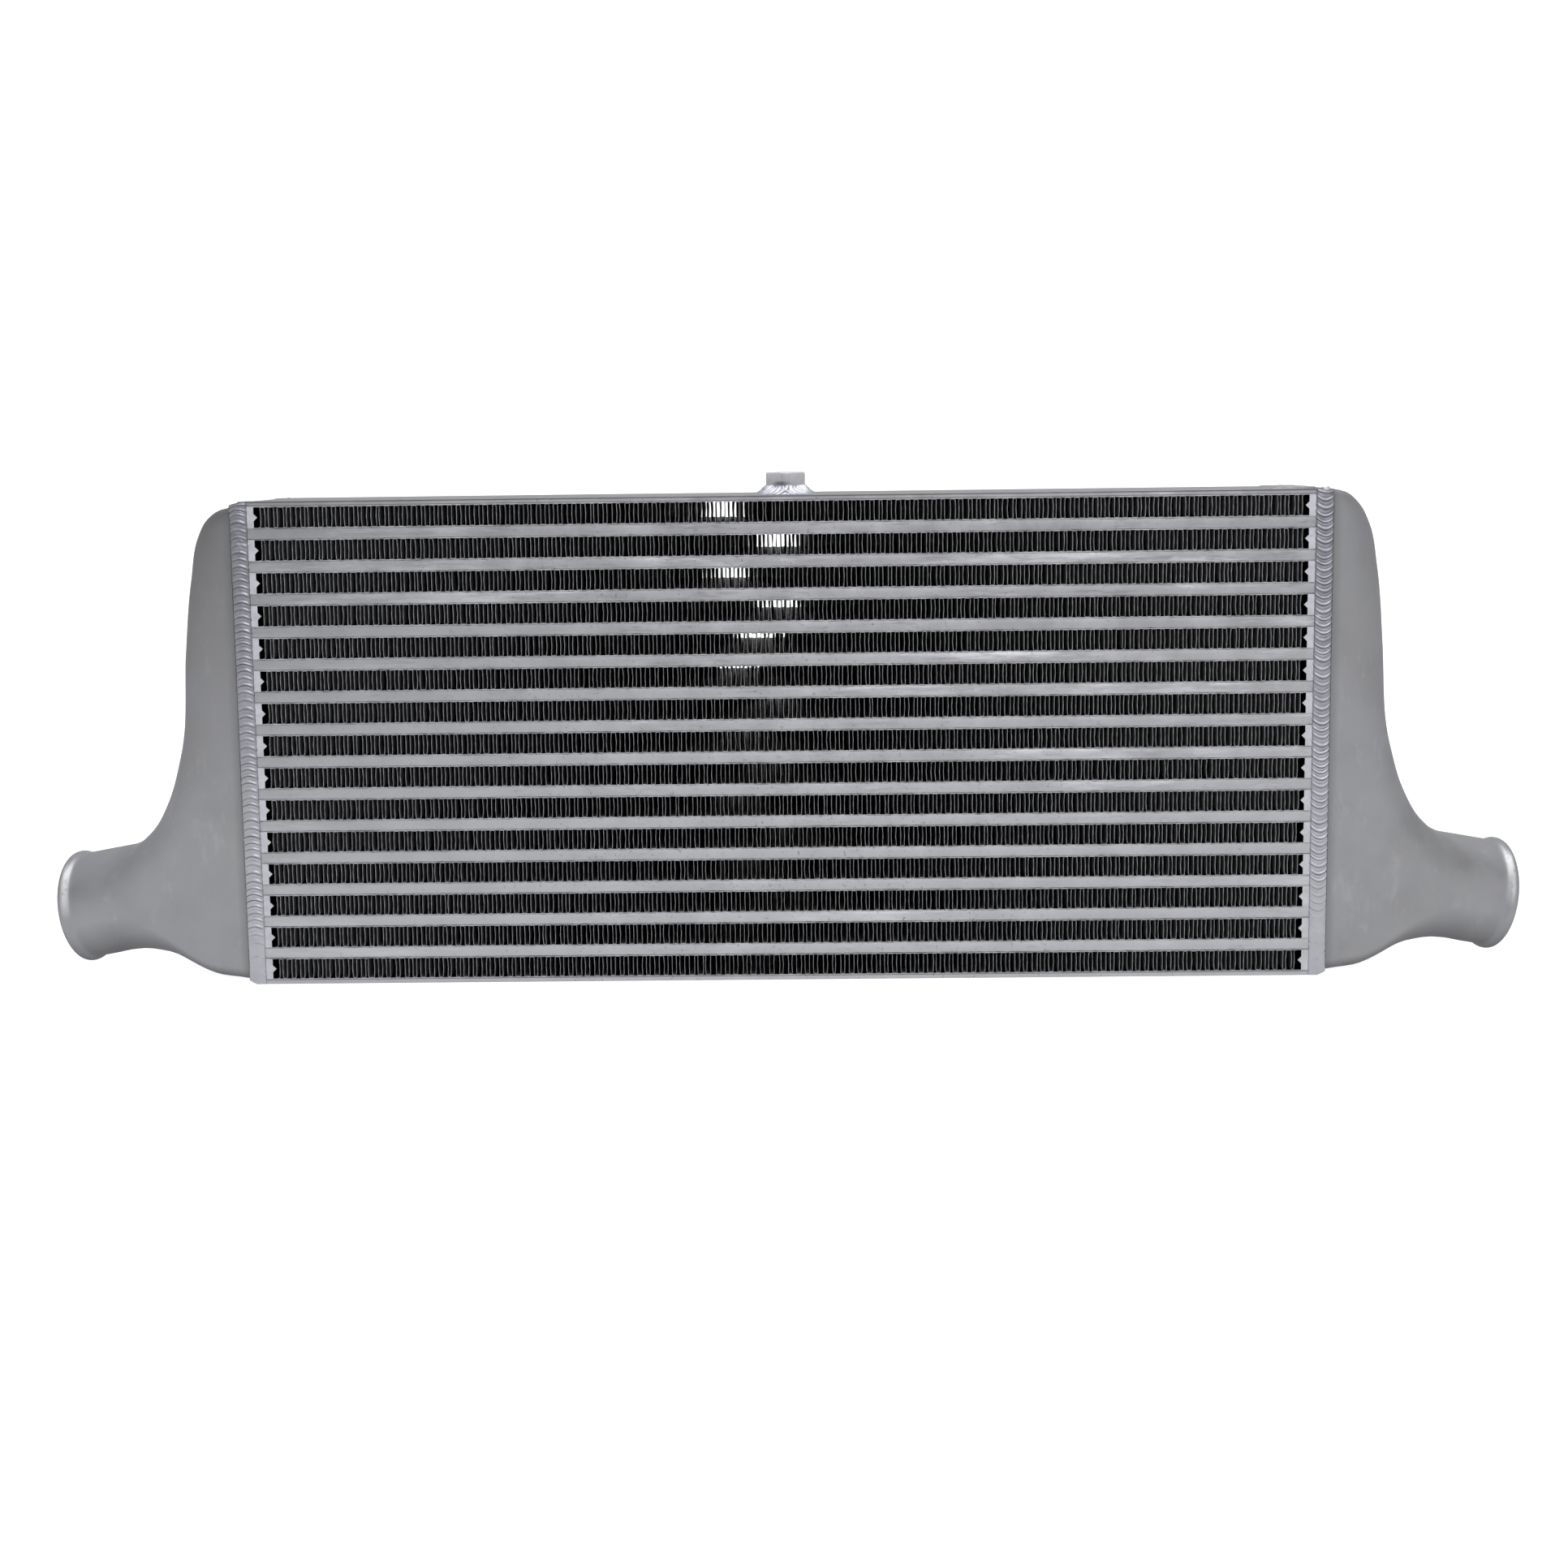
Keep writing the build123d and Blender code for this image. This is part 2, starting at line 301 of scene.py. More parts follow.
floor_paint = bpy.data.materials.new("floor_paint")
floor_paint.use_nodes = True
floor_tree = floor_paint.node_tree
Painter(floor_tree).fill(
    floor_tree.nodes["Principled BSDF"], Base_Color=grey(FLOOR_GREY), Roughness=0.9,
    Specular_IOR_Level=0.1, Emission_Color=grey(1.0), Emission_Strength=FLOOR_GLOW,
)
floor.data.materials.append(floor_paint)
print("floor and backdrop:", len(floor.data.polygons), "faces")


# %% Room light: white low down all round, dimmer overhead and in front
FRONT_LEVEL = 0.30
BACK_LEVEL = 0.8
LOW_LEVEL = 1.0
FRONT_END, BACK_END = -0.6, 0.4
WHITE_BELOW, DIM_ABOVE = 0.22, 0.55

world = bpy.data.worlds.new("room")
world.use_nodes = True
bpy.context.scene.world = world
room = Painter(world.node_tree)
look = room.node("SeparateXYZ", Vector=room.node("TexCoord").outputs["Generated"]).outputs
room_level = room.ramp(look["Y"], FRONT_END, BACK_END, FRONT_LEVEL, BACK_LEVEL)
room_height = room.ramp(look["Z"], WHITE_BELOW, DIM_ABOVE)
room_light = room.node("Mix", Factor=room_height, A=LOW_LEVEL, B=room_level).outputs["Result"]
room.fill(room.tree.nodes["Background"], Color=grey(1.0), Strength=room_light)
print("room light:", len(room.tree.nodes), "nodes")


# %% Soft boxes
def soft_box(name, place, target, size, watts):
    """An area light that looks at a point."""
    light = bpy.data.lights.new(name, "AREA")
    light.shape = "RECTANGLE"
    light.size, light.size_y = size
    light.energy = watts
    lamp = bpy.data.objects.new(name, light)
    lamp.location = place
    lamp.rotation_euler = (Vector(target) - Vector(place)).to_track_quat("-Z", "Y").to_euler()
    bpy.context.scene.collection.objects.link(lamp)


soft_box("overhead_box", (0.2, -0.3, 2.2), (0, 0.1, 0), size=(3.0, 1.6), watts=24)
soft_box("backdrop_box", (0, 1.2, 2.6), (0, 3.0, 0.6), size=(4.0, 1.0), watts=40)
soft_box("front_box", (0.35, -2.4, 1.4), (0, 0, 0.15), size=(1.8, 0.8), watts=18)
bpy.context.scene.view_settings.view_transform = "Standard"
print("soft boxes:", [light.name for light in bpy.data.lights])

# %% [markdown]
# ## Finishes
# Every metal here is aluminium, so the finishes differ in how they were worked: cast, folded,
# brazed, welded or turned. Wear, soot and painted light and shade keep to certain places, so
# each finish needs masks: from where a point lies, from which way it faces, and from noise.


# %% Masks over the part
class Masks(Painter):
    """A painter that knows the part; every mask runs from 0 to 1."""

    def mask(self, value):
        """A value kept between 0 and 1."""
        return self.ramp(value, 0.0, 1.0)

    def place(self, stretch=None):
        """Where a point lies in the part, in metres, with its axes stretched if asked to."""
        place = self.node("TexCoord").outputs["Object"]
        if stretch is None:
            return place
        return self.reckon("VectorMath", "MULTIPLY", place, stretch)[0]

    def axis(self, name):
        """A point's place along one axis, in metres."""
        return self.node("SeparateXYZ", Vector=self.place()).outputs[name]

    def from_middle(self):
        """How far out along the core a point lies, the same at both ends."""
        return self.reckon("Math", "ABSOLUTE", self.axis("X"))[0]

    def facing(self, name):
        """The surface normal's part along one axis, from -1 to 1."""
        normal = self.node("NewGeometry").outputs["Normal"]
        return self.node("SeparateXYZ", Vector=normal).outputs[name]

    def noise(self, scale, detail, roughness, stretch=None):
        """Noise over the part, drawn out along the axes with a small stretch."""
        node = self.node("TexNoise", Scale=scale, Detail=detail, Roughness=roughness)
        return self.fill(node, Vector=self.place(stretch)).outputs["Fac"]

    def streaks(self, scale, low, high, stretch=None):
        """Noise as a mask, from 0 at a low level to 1 at a high one."""
        return self.ramp(self.noise(scale, 5.0, 0.65, stretch), low, high)

    def near(self, spot, reach, stretch=(1, 1, 1)):
        """From 1 at a spot to 0 at a reach from it, a ball or a stretched one."""
        offset = self.reckon("VectorMath", "SUBTRACT", self.place(), spot)[0]
        offset = self.reckon("VectorMath", "MULTIPLY", offset, stretch)[0]
        distance = self.reckon("VectorMath", "LENGTH", offset)["Value"]
        return self.ramp(distance, reach, 0.3 * reach)

    def buried(self, reach):
        """From 0 at the front and rear faces of the core to 1 at a depth inside it."""
        skin = HALF_DEPTH - 0.3 * MM
        front = self.ramp(self.axis("Y"), -skin, reach - HALF_DEPTH)
        return self.times(front, self.ramp(self.axis("Y"), skin, HALF_DEPTH - reach))


# %% [markdown]
# ## The shared effect
# What all the metals share is built once as a node group: a slow mottle, a directional
# scratch, and a fine grain for the bump. A finish starts from two greys mixed by the mottle,
# and every coat after that lays one more grey over them where a mask says.


# %% Node group: worked metal
def make_worked_metal():
    """Node group: mottle, scratches and grain at sizes that each finish sets."""
    group = bpy.data.node_groups.new("worked_metal", "ShaderNodeTree")
    for name in ("Mottle Scale", "Grain Scale", "Scratch Scale"):
        group.interface.new_socket(name, in_out="INPUT", socket_type="NodeSocketFloat")
    group.interface.new_socket("Stretch", in_out="INPUT", socket_type="NodeSocketVector")
    for name in ("Mottle", "Scratch", "Grain"):
        group.interface.new_socket(name, in_out="OUTPUT", socket_type="NodeSocketFloat")
    inside = group.nodes.new("NodeGroupInput").outputs
    outside = group.nodes.new("NodeGroupOutput")
    paint = Masks(group)
    mottle = paint.noise(inside["Mottle Scale"], 4.0, 0.6)
    scratch = paint.noise(inside["Scratch Scale"], 6.0, 0.7, inside["Stretch"])
    grain = paint.noise(inside["Grain Scale"], 3.0, 0.5)
    scratch = paint.ramp(scratch, 0.56, 0.66)
    paint.fill(outside, Mottle=paint.ramp(mottle, 0.32, 0.68), Scratch=scratch, Grain=grain)
    return group


WORKED_METAL = make_worked_metal()
print("effect:", WORKED_METAL.name, "with", len(WORKED_METAL.nodes), "nodes")


# %% A material with the effect in it
GRAZING_TINT = 0.4
PIT_SCALE = 520.0
PIT_LEVEL = 0.07
SOOT_PLACE = (BOSS_X - 3.2 * MM, -12.5 * MM, TOP + 6.2 * MM)
SOOT_REACH = 4.4 * MM
SOOT_STRETCH = (0.62, 0.45, 2.3)


class Metal(Masks):
    """A material with the worked metal effect in it, whose colour is laid on coat by coat."""

    def __init__(self, name, levels, blue, mottle, grain, scratch, stretch=(1, 1, 1), metallic=1.0):
        """Start from two grey levels mixed by the mottle; the scales set the effect."""
        self.material = bpy.data.materials.new(name)
        self.material.use_nodes = True
        super().__init__(self.material.node_tree)
        self.shader = self.tree.nodes["Principled BSDF"]
        self.fill(self.shader, Metallic=metallic, Specular_Tint=grey(GRAZING_TINT))
        effect = self.node("Group")
        effect.node_tree = WORKED_METAL
        self.fill(effect, Mottle_Scale=mottle, Grain_Scale=grain, Scratch_Scale=scratch)
        self.effect = self.fill(effect, Stretch=stretch).outputs
        self.colour = self.mix(self.effect["Mottle"], *(grey(level, blue) for level in levels))

    def coat(self, mask, level, blue=0.0):
        """Lay a grey over the colour so far, where the mask says."""
        self.colour = self.mix(mask, self.colour, grey(level, blue))

    def pit(self, threshold):
        """Strew small dark pits over the colour, most of them in the core's middle."""
        pits = self.ramp(self.noise(PIT_SCALE, 3.0, 0.65), threshold, threshold + 0.12, 0.0, 0.6)
        middle = self.ramp(self.from_middle(), 0.24, 0.10, 0.4, 1.0)
        self.coat(self.times(pits, middle), PIT_LEVEL)

    def soot(self):
        """Smoke the colour at the foot of the boss."""
        self.coat(self.times(self.near(SOOT_PLACE, SOOT_REACH, SOOT_STRETCH), 0.75), 0.07, 0.2)

    def rough(self, name, low, high):
        """A roughness from low to high by one of the effect's outputs."""
        return self.ramp(self.effect[name], 0.0, 1.0, low, high)

    def finished(self, roughness, height, strength, depth):
        """Wire up the colour, the roughness and a fine relief, and give the material."""
        relief = self.node("Bump", Strength=strength, Distance=depth, Height=height).outputs[0]
        self.fill(self.shader, Base_Color=self.colour, Roughness=roughness, Normal=relief)
        print("finish:", self.material.name, "with", len(self.tree.nodes), "nodes")
        return self.material


# %% [markdown]
# ## Cast metal
# The tanks are castings blasted to an even satin. Their grain is finer than can be seen, so a
# bump does for it. What tells the eye that this is a casting changes more slowly: cloudy
# mottle, painted shade up high and on faces that look down, a darker band beside the weld and
# a painted highlight on the hose bead.

# %% Cast aluminium for the tanks
NOZZLE_DROOP = radians(10.3)
NOZZLE_REACH = 117.3 * MM
NOZZLE_HEIGHT = 37.5 * MM


def along_nozzle(paint):
    """Distance along a nozzle's axis from the crest of its bead, outwards."""
    out = paint.times(paint.from_middle(), cos(NOZZLE_DROOP))
    down = paint.times(paint.axis("Z"), -sin(NOZZLE_DROOP))
    crest = (HALF_LENGTH + NOZZLE_REACH) * cos(NOZZLE_DROOP) - NOZZLE_HEIGHT * sin(NOZZLE_DROOP)
    return paint.plus(paint.plus(out, down), -crest)


def make_cast_metal():
    """Satin casting: mottle, painted shade up high and underneath, darker by the weld, a painted
    bead highlight.
    """
    metal = Metal("cast_aluminium", (0.235, 0.290), 0.05, mottle=34.0, grain=1500.0,
                  scratch=90.0, stretch=(1, 1, 0.35), metallic=0.75)
    clouds = metal.streaks(14.0, 0.40, 0.62)
    metal.coat(metal.times(clouds, 0.35), 0.30, 0.12)
    metal.coat(metal.times(metal.effect["Scratch"], 0.25), 0.38, 0.03)
    # painted shade: the upper part of the tanks darker, most on the left tank, as if lit from the
    # right
    far_end = metal.ramp(metal.axis("X"), HALF_LENGTH, -HALF_LENGTH)
    high_up = metal.ramp(metal.axis("Z"), 0.08, TOP)
    painted_shade_to_left = metal.times(high_up, metal.mask(metal.plus(far_end, 0.45)), 0.75)
    metal.coat(painted_shade_to_left, 0.118)
    # painted shade on faces that look down
    painted_underside_shade = metal.ramp(metal.facing("Z"), -0.15, -0.92, 0.0, 0.62)
    metal.coat(painted_underside_shade, 0.045, 0.05)
    # darker in a band beside the weld seam
    seam = HALF_LENGTH + WELD_HALF_WIDTH
    darker_by_seam = metal.ramp(metal.from_middle(), seam + 0.4 * MM, seam + 5 * MM, 0.42, 0.0)
    metal.coat(darker_by_seam, 0.11)
    # painted highlight on the upper flank of the hose bead, which is also made less rough there
    painted_bead_highlight = metal.times(
        metal.ramp(along_nozzle(metal), -5.0 * MM, -3.8 * MM),
        metal.ramp(along_nozzle(metal), 0.2 * MM, -1.2 * MM),
        metal.ramp(metal.axis("Z"), 38 * MM, 62 * MM),
        metal.ramp(metal.facing("Z"), 0.92, 0.80),
        metal.mask(metal.plus(metal.streaks(260.0, 0.30, 0.60), 0.35)),
    )
    metal.coat(painted_bead_highlight, 0.60, 0.02)
    roughness = metal.plus(metal.rough("Mottle", 0.48, 0.62), metal.times(painted_bead_highlight, -0.12))
    return metal.finished(roughness, metal.effect["Grain"], 0.35, 0.2 * MM)


CAST_METAL = make_cast_metal()

# %% [markdown]
# ## Brazed metal
# Bars, plates and sheets are rolled metal that went through a furnace under a film of braze.
# Rolling leaves its marks along the core, so the noises here are drawn out along X, and the
# braze leaves pits. The plates share the bars' finish, with dark lines where sheets meet them.


# %% Brazed bars and plates
def make_bar_metal(name, lines=()):
    """Bar stock after the furnace: braze runs, long scuffs, dark streaks and small pits.

    Each of `lines` is a pair of heights between which the surface is dark.
    """
    metal = Metal(name, (0.25, 0.34), 0.06, mottle=45.0, grain=1200.0, scratch=40.0,
                  stretch=(0.12, 1, 1))
    scratch, height = metal.effect["Scratch"], metal.axis("Z")
    metal.coat(scratch, 0.46, 0.06)
    streaks = metal.streaks(380.0, 0.54, 0.62, (0.12, 1, 1))
    patches = metal.streaks(34.0, 0.44, 0.56, (0.5, 1, 1))
    dark = metal.times(streaks, patches, 0.32)
    metal.coat(dark, 0.09, 0.05)
    # painted shade: darker towards the left end, as if lit from the right
    painted_shade_to_left = metal.ramp(metal.axis("X"), -0.08, -0.30, 0.0, 0.6)
    metal.coat(painted_shade_to_left, 0.225, 0.05)
    # painted light from the floor: lighter towards the bottom
    painted_floor_light = metal.ramp(height, 0.27, 0.03, 0.0, 0.5)
    metal.coat(painted_floor_light, 0.50, 0.06)
    metal.pit(0.61)
    # painted light on faces that look up
    painted_top_light = metal.ramp(metal.facing("Z"), 0.7, 0.95, 0.0, 0.5)
    metal.coat(painted_top_light, 0.40, 0.03)
    soft = 0.15 * MM
    for low, high in lines:
        above = metal.ramp(height, low - soft, low + soft)
        below = metal.ramp(height, high + soft, high - soft)
        metal.coat(metal.times(above, below, 0.8), 0.07)
    relief = metal.mask(metal.plus(scratch, metal.times(metal.effect["Grain"], 0.4)))
    relief = metal.mask(metal.plus(relief, metal.times(dark, -1.0)))
    return metal.finished(metal.rough("Scratch", 0.52, 0.42), relief, 0.5, 0.3 * MM)


BAR_METAL = make_bar_metal("brazed_bar")
SEAM = 0.45 * MM
PLATE_METAL = make_bar_metal("end_plate_metal", (
    (plate_low.z, plate_low.z + SEAM),
    (TOP - 0.8 * MM, TOP - 0.1 * MM),
    (base_high.z - SEAM, base_high.z),
))


# %% Separator sheets
def make_sheet_metal():
    """Clad separator sheet: bright on its edge, with painted shade further inside the core."""
    metal = Metal("clad_sheet", (0.19, 0.42), 0.05, mottle=90.0, grain=1500.0, scratch=60.0,
                  stretch=(0.3, 1, 1))
    metal.pit(0.58)
    # painted shade: darker behind the front and rear edges
    metal.coat(metal.buried(2 * MM), 0.03)
    return metal.finished(metal.rough("Mottle", 0.45, 0.33), metal.effect["Grain"], 0.4, 0.3 * MM)


SHEET_METAL = make_sheet_metal()

# %% [markdown]
# ## Bar ends and fins
# The bar ends were scraped clean for welding, so they are pale. Between the fins hardly any
# light arrives. More shadow could come from the lamps, but they light the rest as well, so
# these metals get painted shade, darker the further behind the face a point lies.


# %% Scraped bar ends and folded fin sheet
def make_scraped_metal():
    """Pale metal where the joint was scraped before it was welded, with painted shade inside the
    core.
    """
    metal = Metal("scraped_bar_end", (0.38, 0.50), 0.09, mottle=200.0, grain=1500.0,
                  scratch=160.0, stretch=(1, 1, 0.2))
    # painted shade inside the core
    metal.coat(metal.buried(1.2 * MM), 0.012)
    return metal.finished(metal.rough("Mottle", 0.40, 0.55), metal.effect["Scratch"], 0.3, 0.2 * MM)


def make_fin_metal():
    """Thin rolled sheet, bright on its cut edge and with painted shade between the folds."""
    metal = Metal("folded_sheet", (0.13, 0.34), 0.05, mottle=240.0, grain=2400.0,
                  scratch=300.0, stretch=(1, 0.05, 1), metallic=0.35)
    # painted shade between the folds, darker further behind the face
    metal.coat(metal.buried(1.5 * MM), 0.115, 0.15)
    metal.coat(metal.buried(12 * MM), 0.006, 0.4)
    return metal.finished(metal.rough("Scratch", 0.55, 0.4), metal.effect["Grain"], 0.2, 0.1 * MM)


SCRAPED_METAL = make_scraped_metal()
FIN_METAL = make_fin_metal()

# %% [markdown]
# ## Weld metal and turned metal
# A weld is bare metal that froze in ripples. The ripples are real shape, further down; the
# finish paints a highlight on each ridge's upper side and shade under it, by which way the
# surface faces, paints light low down and on top faces, and adds the smoke of the torch. The
# boss was turned: noise that changes ten times faster along its axis than across it gives it
# rings, and painted shade darkens its front corner.

# %% Weld metal
CRATER = (HALF_LENGTH + 0.3 * MM, -HALF_DEPTH + 0.2 * MM, TOP + 0.6 * MM)
CRATER_REACH = 2.6 * MM


def make_weld_metal(name, levels, painted_low_light_level, roughness, painted_shade_under, painted_highlight_over):
    """Solidified puddles: painted light low down and on top, a painted highlight on a ridge and
    painted shade under it, a few pits.
    """
    metal = Metal(name, levels, 0.14, mottle=130.0, grain=1800.0, scratch=220.0)
    facing = metal.facing("Z")
    # painted light from the floor: lighter low down
    metal.coat(metal.ramp(metal.axis("Z"), 0.24, 0.03, 0.0, 0.75), painted_low_light_level, 0.08)
    # painted highlight on faces that look up, the upper side of each ridge
    metal.coat(metal.ramp(facing, 0.06, 0.36, 0.0, painted_highlight_over), 0.60, 0.10)
    # painted shade on faces that look down, under each ridge
    metal.coat(metal.ramp(facing, -0.06, -0.38, 0.0, painted_shade_under), 0.06, 0.15)
    # painted light on faces that look straight up
    metal.coat(metal.ramp(facing, 0.75, 0.98, 0.0, 0.6), 0.45, 0.05)
    metal.coat(metal.near(CRATER, CRATER_REACH), 0.95)
    metal.pit(0.68)
    metal.soot()
    rough = metal.rough("Mottle", roughness + 0.12, roughness)
    return metal.finished(rough, metal.effect["Grain"], 0.3, 0.2 * MM)


WELD_METAL = make_weld_metal("weld_metal", levels=(0.155, 0.235), painted_low_light_level=0.42,
                             roughness=0.36, painted_shade_under=0.85, painted_highlight_over=0.5)
# painted light: the boss weld is a paler copy of the weld metal, for the weld on top of the core
FOOT_METAL = make_weld_metal("boss_weld_metal", levels=(0.42, 0.60), painted_low_light_level=0.5,
                             roughness=0.24, painted_shade_under=0.3, painted_highlight_over=0.0)


# %% Turned metal for the boss
def make_turned_metal():
    """Bar stock with fine tool marks round its axis, and painted shade on its front corner."""
    metal = Metal("turned_bar", (0.44, 0.53), 0.05, mottle=160.0, grain=1600.0,
                  scratch=500.0, stretch=(0.1, 0.1, 1), metallic=0.5)
    # painted shade on the corner that faces the front
    painted_front_shade = metal.ramp(metal.facing("Y"), -0.90, -0.95, 0.0, 0.8)
    metal.coat(painted_front_shade, 0.30, 0.03)
    metal.soot()
    rough = metal.rough("Scratch", 0.38, 0.5)
    return metal.finished(rough, metal.effect["Scratch"], 0.25, 0.2 * MM)


TURNED_METAL = make_turned_metal()

# %% [markdown]
# ## CAD pieces that only need a finish
# The plates, the sheets, the turbulators and the short bars at the ends have true outlines
# already. Each is dressed by giving its mesh the new finish.

# %% Dress the plain pieces
DRESSED = (
    (PLATE_METAL, ("top_end_plate", "bottom_end_plate")),
    (SHEET_METAL, SHEETS),
    (FIN_METAL, TURBULATORS),
    (SCRAPED_METAL, ("short_bars_left", "short_bars_right")),
)
for material, names in DRESSED:
    for name in names:
        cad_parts[name].data.materials.clear()
        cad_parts[name].data.materials.append(material)
    print(material.name, "on", len(names), "CAD pieces")


# %% [markdown]
# ## Charge passage bars
# In the furnace the braze runs over the bars' edges and sets in low waves. Each bar is a
# closed skin laid round a softened rectangle, whose edges wander and whose faces dip a little.

# %% One bar as a skin
LONG_BAR_WIDTH = 8 * MM
BAR_STEP = 1.6 * MM
BAR_EDGE = 0.5 * MM
BAR_RING = 12
BAR_WAVE = 0.22 * MM
BAR_DIP = 0.08 * MM


def bar_skin(low, high, outward, seed):
    """A closed bar between two corners; outward is -1 for the front bar, 1 for the rear."""
    columns = round((high.x - low.x) / BAR_STEP)
    middle = (low + high) / 2
    half_y, half_z = (high.y - low.y) / 2, (high.z - low.z) / 2
    corners = []
    for sign_y, sign_z in ((1, -1), (1, 1), (-1, 1), (-1, -1)):
        edges = ((BAR_EDGE, 0.0), (0.3 * BAR_EDGE, 0.3 * BAR_EDGE), (0.0, BAR_EDGE))
        steps = edges if sign_y == -sign_z else edges[::-1]
        corners += [(sign_y * (half_y - a), sign_z * (half_z - b)) for a, b in steps]

    def place(u, v):
        y, z = corners[round(v * BAR_RING) % BAR_RING]
        x = low.x + u * (high.x - low.x)
        up = 1 if z > 0 else -1
        wave = noise.noise(Vector((x / (4 * MM), up * 7.0, seed)))
        wave += 0.6 * noise.noise(Vector((x / (1.3 * MM), up * 9.0, seed)))
        dip = 0.5 + 0.5 * noise.noise(Vector((x / (11 * MM), z / (3 * MM), seed + 50)))
        z += BAR_WAVE * wave * up
        y -= outward * BAR_DIP * dip if outward * y > 0 else 0.0
        return Vector((x, middle.y + y, middle.z + z))

    bar = laid_grid("bar", columns, BAR_RING, place, closed=True)
    select_edges(bar)
    bpy.ops.mesh.edge_face_add()
    return smooth(orient(bar), 35)


def join(name, pieces):
    """One piece made of several."""
    activate(pieces[0])
    for piece in pieces:
        piece.select_set(True)
    bpy.ops.object.join()
    return new_piece(name)


for row, name in enumerate(BAR_ROWS):
    low, high = (Vector(corner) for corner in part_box(name))
    front = bar_skin(low, Vector((high.x, low.y + LONG_BAR_WIDTH, high.z)), -1, seed=row)
    rear = bar_skin(Vector((low.x, high.y - LONG_BAR_WIDTH, low.z)), high, 1, seed=row + 30)
    finish(join(f"brazed_bars_{row + 1:02d}", [front, rear]), BAR_METAL, "bar", name)
print("bars:", len(BAR_ROWS), "pairs")


# %% [markdown]
# ## Cooling fins
# Each row is one thin sheet folded into more than two hundred legs, with small crests brazed
# to the sheets above and below. The folds are never perfect: a leg leans a little, bows a
# little, and the whole row may sit slightly skew, so light passes right through it only where
# the eye lines up with the legs. The sheet is laid as a grid along the folded line, then
# given its thickness by Solidify.

# %% Fold one row
LEG_PITCH = 2.54 * MM
FIN_THICKNESS = 0.22 * MM
FIN_SPANS = 3
END_STRETCH = 0.7 * MM
LEG_TWIST = 0.6 * MM
LEG_BULGE = 0.52 * MM
FAN_SLOPE = 0.031
FAN_REACH = 28 * MM
CREST_STEPS = (0, 45, 90)
CREST_CORNER = 0.62 * MM
LEG_LEAN = 0.22 * MM
LEG_BOW = 0.36 * MM
# Degrees, from the lowest row up
ROW_SKEWS = (
    -1.4, -2.5, -1.0, -2.1, -0.7, -2.6, -1.2, -2.2, -0.9, -2.4, -1.6, -0.8, -2.7, -0.8, -2.9,
)


def fold_line(legs, height, seed):
    """Points (x, z) of the folded line from one end crest to the other, x from 0."""
    dice = random.Random(seed)
    crest = LEG_PITCH / 2
    side = [(0.0, 0.0)]
    for angle in CREST_STEPS:
        across = crest - CREST_CORNER * (1 - sin(radians(angle)))
        side.append((across, CREST_CORNER * (1 - cos(radians(angle)))))
    points = []
    lean = 0.0
    for leg in range(legs):
        lean = 0.7 * lean + dice.uniform(-LEG_LEAN, LEG_LEAN)
        bow = dice.uniform(-LEG_BOW, LEG_BOW)
        rises = leg % 2 == 0
        middle = (leg + 0.5) * LEG_PITCH
        start = [(middle - crest + across, drop) for across, drop in side]
        end = [(middle + crest - across, height - drop) for across, drop in reversed(side)]
        last = len(end) if leg == legs - 1 else len(end) - 1
        for x, z in (*start, (middle + bow, height / 2), *end[:last]):
            share = sin(pi * z / height)
            offset = lean * (z / height - 0.5) * 2 * (1 if rises else -1) * share
            points.append((x + offset, z if rises else height - z))
    return points


def fold_row(row, name):
    """One row of fin between its two sheets; its legs twist and bulge on their way back."""
    low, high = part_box(name)
    depth = high.y - low.y
    skew = tan(radians(ROW_SKEWS[row]))
    aligned = CAMERA_PLACE.x - skew * CAMERA_PLACE.y
    reach = high.x + END_STRETCH
    legs = 2 * int(reach / LEG_PITCH) - 1
    stretch = 2 * reach / (legs * LEG_PITCH)
    height = high.z - low.z - FIN_THICKNESS
    points = fold_line(legs, height, seed=row)
    base = low.z + FIN_THICKNESS / 2
    dice = random.Random(100 + row)
    twists = [dice.uniform(-LEG_TWIST, LEG_TWIST) for _ in range(legs + 2)]
    bulges = [dice.uniform(-LEG_BULGE, LEG_BULGE) for _ in range(legs + 2)]

    def place(u, v):
        x, z = points[round(u * (len(points) - 1))]
        leg = max(0, min(legs, int(x / LEG_PITCH)))
        across = x * stretch - reach
        middle = 1 - (across / reach) ** 4
        back = v - 0.5
        fan = FAN_SLOPE * tanh((across - aligned) / FAN_REACH)
        shift = (skew - fan) * middle * back * depth
        shift += twists[leg] * back + bulges[leg] * sin(2 * pi * v + leg)
        return Vector((across + shift, low.y + v * depth, base + z))

    fin = laid_grid(f"folded_fin_{row + 1:02d}", len(points) - 1, FIN_SPANS, place)
    solidify(fin, thickness=FIN_THICKNESS, offset=0)
    finish(smooth(fin, 60), FIN_METAL, "fin", name)
    return legs


for row, name in enumerate(FIN_ROWS):
    legs = fold_row(row, name)
print("legs in a row:", legs)


# %% [markdown]
# ## End tanks
# A cast tank is one smooth skin: a full-depth box at the core, a round shoulder on top, and
# an elbow that draws the box in to a round nozzle with a hose bead. It is described by
# stations, as a boat hull is: rounded rectangles down the upright part, leaning ones round
# the elbow, and circles along the nozzle. A grid is laid over the stations, the part behind
# the mouth is cut off by Bisect, and Solidify gives the wall.

# %% Stations of the casting
NOZZLE_RADIUS = 31.75 * MM
TANK_WALL = 4.0 * MM
CORNER_STEPS = 8

